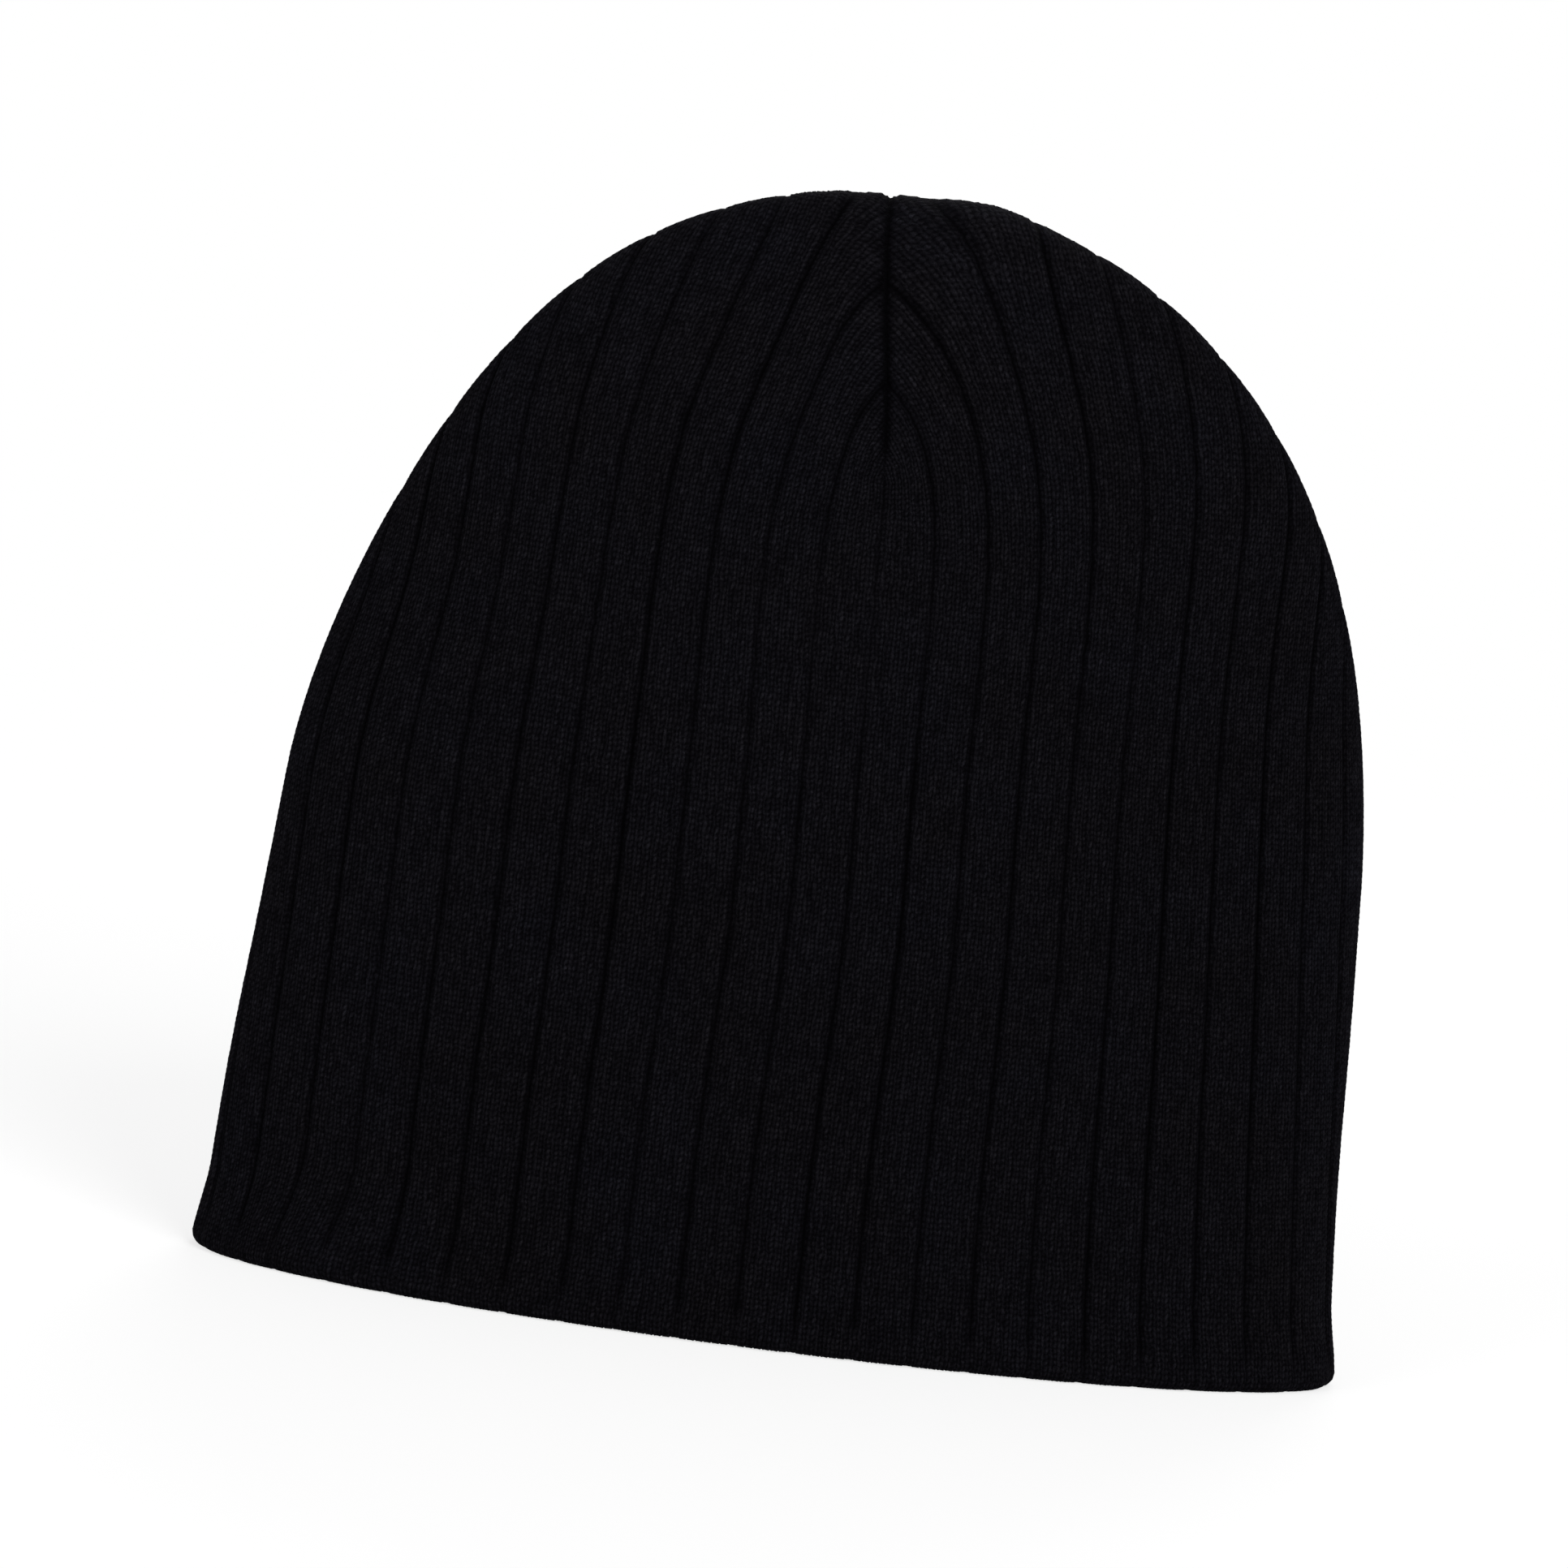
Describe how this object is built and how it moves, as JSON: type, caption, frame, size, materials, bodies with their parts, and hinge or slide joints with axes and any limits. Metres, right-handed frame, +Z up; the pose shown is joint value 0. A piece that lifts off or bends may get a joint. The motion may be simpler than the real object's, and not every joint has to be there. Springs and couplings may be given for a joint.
{
  "type": "knit beanie",
  "caption": "Plain double-layer rib-knit beanie with a soft folded hem and a dart-shaped round crown, standing on its hem with the mouth eased open.",
  "frame": {"origin": "middle of the mouth, in the plane that the hem rests on", "axes": "+Z up through the crown, the front of the hat faces -Y, +X to the viewer's right when facing the front"},
  "size_m": [0.2078, 0.0578, 0.2055],
  "materials": {
    "outer_knit": "near-black fine rib-knit acrylic, matt with a faint fuzz",
    "inner_knit": "the same knit turned up inside, matt",
    "seam_thread": "black overlock thread",
    "label_satin": "blank off-white woven satin ribbon",
    "label_thread": "black sewing thread"
  },
  "bodies": {
    "root": {"outer_layer": "outer_knit", "inner_layer": "inner_knit", "outer_dart_seam_front": "seam_thread", "outer_dart_seam_back": "seam_thread", "outer_dart_seam_left": "seam_thread", "outer_dart_seam_right": "seam_thread", "inner_dart_seam_front": "seam_thread", "inner_dart_seam_back": "seam_thread", "inner_dart_seam_left": "seam_thread", "inner_dart_seam_right": "seam_thread", "crown_tack": "seam_thread", "care_label": "label_satin", "label_stitches": "label_thread"}
  },
  "joints": []
}
